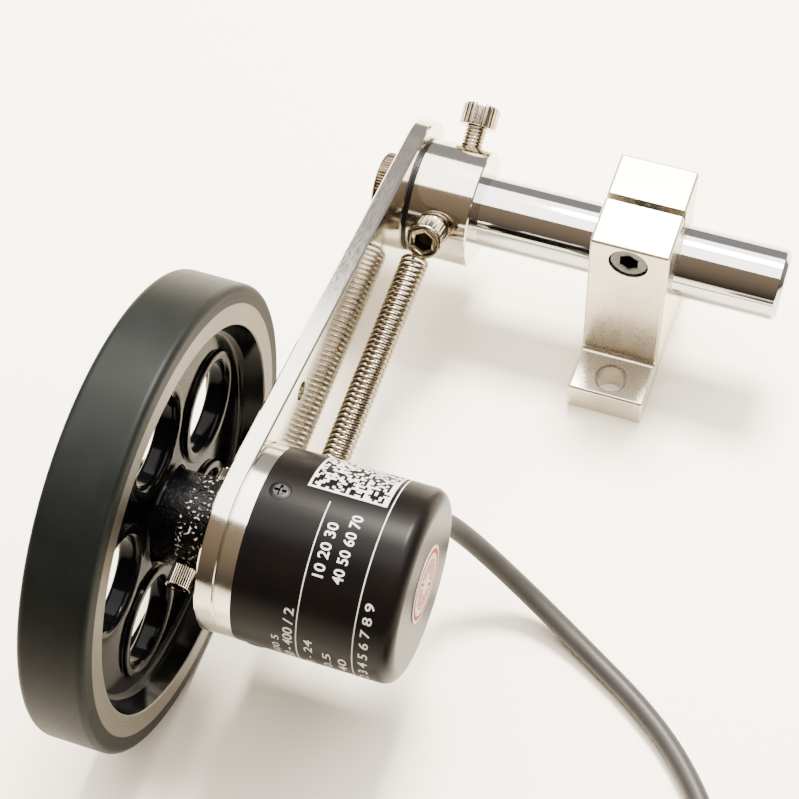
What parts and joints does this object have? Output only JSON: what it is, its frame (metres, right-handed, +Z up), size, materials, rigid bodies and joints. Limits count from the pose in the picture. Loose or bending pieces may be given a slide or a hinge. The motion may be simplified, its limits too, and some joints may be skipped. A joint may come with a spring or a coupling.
{
  "type": "cable length counter",
  "caption": "Spring-loaded measuring wheel on a rotary encoder, carried by a swing arm on a round shaft clamped in a split block, with a grey signal cable.",
  "frame": {"origin": "centre of the support block's base face", "axes": "+X along the shaft, away from the wheel; +Y from the wheel's end of the arm to its pivot; +Z up"},
  "size_m": [0.1531, 0.2215, 0.0955],
  "materials": {
    "satin_aluminium": "clear anodised, bead blasted",
    "turned_aluminium": "turned, clear anodised",
    "polished_aluminium": "rolled plate, polished",
    "chromed_steel": "ground and hard chromed",
    "nickel_steel": "nickel plated",
    "black_oxide_steel": "black oxide, oiled",
    "spring_steel": "nickel plated spring wire",
    "bronze": "sintered bronze",
    "washer_plastic": "black acetal",
    "bearing_steel": "hardened and ground",
    "cover_black": "black anodised, satin, white print",
    "gloss_black_casting": "black gloss paint, rim machined bright",
    "tyre_rubber": "smooth matt rubber",
    "board_green": "glass epoxy board",
    "sensor_black": "moulded",
    "code_film": "printed film",
    "label_white": "paper label with red ring",
    "grommet_rubber": "moulded rubber",
    "cable_grey": "grey PVC jacket",
    "sleeve_black": "shrunk sleeve",
    "core_colours": "coloured PVC insulation",
    "tinned_copper": "tinned strands",
    "tie_black": "nylon"
  },
  "bodies": {
    "base": {"shaft_support_block": "satin_aluminium", "block_clamp_screw": "black_oxide_steel"},
    "shaft": {"pivot_shaft": "chromed_steel"},
    "collar": {"pivot_collar": "turned_aluminium", "collar_lock_screw": "nickel_steel", "spring_anchor_screw": "nickel_steel", "thrust_washer": "washer_plastic", "pivot_bolt": "nickel_steel"},
    "arm": {"pivot_bush": "bronze", "swing_arm": "polished_aluminium", "spring_post": "nickel_steel", "extension_spring": "spring_steel", "encoder_mount_screws": "black_oxide_steel", "encoder_flange": "turned_aluminium", "encoder_cover": "cover_black", "cover_screws": "black_oxide_steel", "bearing_outer_rings": "bearing_steel", "bearing_balls": "bearing_steel", "circuit_board": "board_green", "board_screws": "nickel_steel", "optical_sensor": "sensor_black", "rear_label": "label_white", "cable_grommet": "grommet_rubber", "encoder_cable": "cable_grey", "cable_coil": "cable_grey", "cable_end_sleeve": "sleeve_black", "core_ends": "core_colours", "tinned_tips": "tinned_copper", "cable_tie": "tie_black"},
    "wheel": {"bearing_inner_rings": "bearing_steel", "encoder_shaft": "bearing_steel", "retaining_ring": "bearing_steel", "disc_hub": "turned_aluminium", "code_disc": "code_film", "wheel_casting": "gloss_black_casting", "wheel_tyre": "tyre_rubber", "hub_screws": "nickel_steel"}
  },
  "joints": [
    {"name": "shaft_slide", "type": "slide", "parent": "base", "child": "shaft", "axis": [1, 0, 0], "range_m": [-0.0237, 0.0275]},
    {"name": "collar_turn", "type": "hinge", "parent": "shaft", "child": "collar", "pos_m": [0, 0, 0.032], "axis": [1, 0, 0], "range_deg": [-90, 15]},
    {"name": "arm_swing", "type": "hinge", "parent": "collar", "child": "arm", "pos_m": [-0.0533, 0, 0.032], "axis": [1, 0, 0], "range_deg": [-26, 25], "stiffness_Nm_per_rad": 0.1, "springref_deg": -26.36, "deforming": ["extension_spring"]},
    {"name": "wheel_spin", "type": "hinge", "parent": "arm", "child": "wheel", "pos_m": [-0.0711, -0.10179, 0.04775], "axis": [1, 0, 0], "continuous": true}
  ]
}
